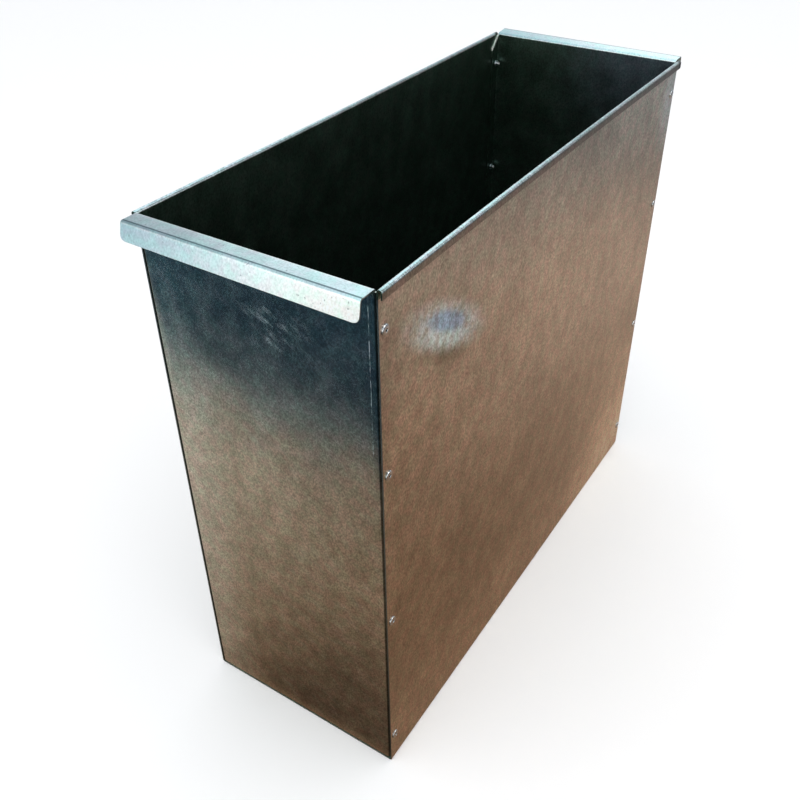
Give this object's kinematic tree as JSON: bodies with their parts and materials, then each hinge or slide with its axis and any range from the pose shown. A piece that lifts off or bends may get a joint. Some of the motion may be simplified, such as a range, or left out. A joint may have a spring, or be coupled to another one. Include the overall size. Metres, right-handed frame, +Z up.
{
  "type": "trough feeder",
  "caption": "Deep, narrow, open-topped feed box of folded galvanised sheet, riveted at its corners, with a turned-down hook lip at each end.",
  "frame": {"origin": "on the floor of the feeder, under the middle of the box", "axes": "+X across the box to its right long side, +Y along it to the back end panel, +Z up"},
  "size_m": [0.2062, 0.5604, 0.484],
  "materials": {
    "galvanised_sheet": "satin zinc coating with a fine mottle",
    "rivet_aluminium": "satin",
    "mandrel_steel": "dull"
  },
  "bodies": {
    "root": {"body_wrap": "galvanised_sheet", "front_end_panel": "galvanised_sheet", "back_end_panel": "galvanised_sheet", "front_left_rivets": "rivet_aluminium", "front_right_rivets": "rivet_aluminium", "back_left_rivets": "rivet_aluminium", "back_right_rivets": "rivet_aluminium", "front_left_mandrels": "mandrel_steel", "front_right_mandrels": "mandrel_steel", "back_left_mandrels": "mandrel_steel", "back_right_mandrels": "mandrel_steel"}
  },
  "joints": []
}
